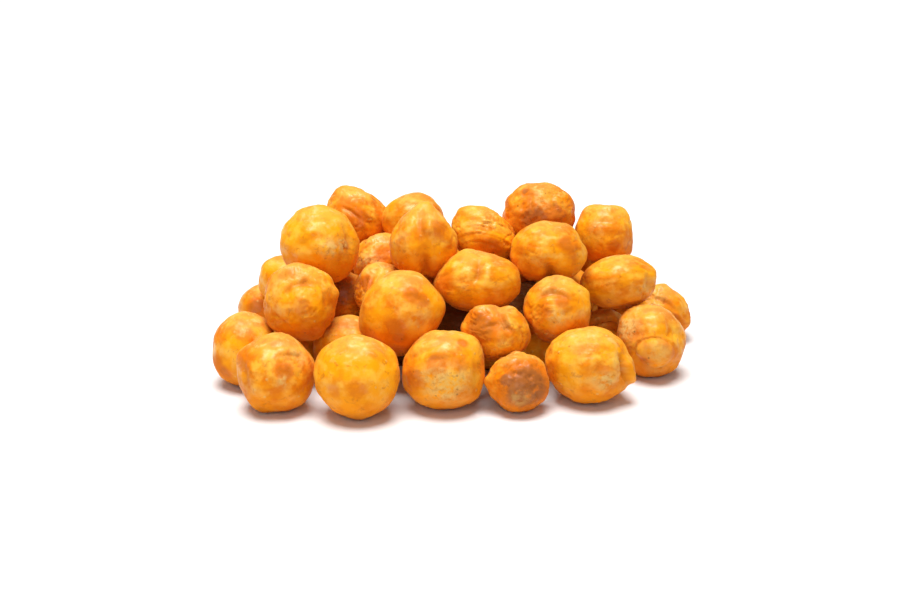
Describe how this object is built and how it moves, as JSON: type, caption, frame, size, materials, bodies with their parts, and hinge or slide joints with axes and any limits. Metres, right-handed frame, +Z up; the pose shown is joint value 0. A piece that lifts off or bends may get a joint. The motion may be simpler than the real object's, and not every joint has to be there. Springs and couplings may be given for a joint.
{
  "type": "heap of roasted chickpeas",
  "caption": "Loose heap of golden roasted chickpeas with wrinkled, browned skins, lying as it fell on a flat surface, for dressing snack and breakfast scenes.",
  "frame": {"origin": "on the surface the heap lies on, under the middle of its front half", "axes": "+Z up, +X to the right along the heap's length, -Y towards the side it is looked at from"},
  "size_m": [0.0636, 0.049, 0.0228],
  "materials": {
    "roasted_skin": "satin, thinly oiled"
  },
  "bodies": {
    "root": {"chickpea_heap": "roasted_skin"}
  },
  "joints": []
}
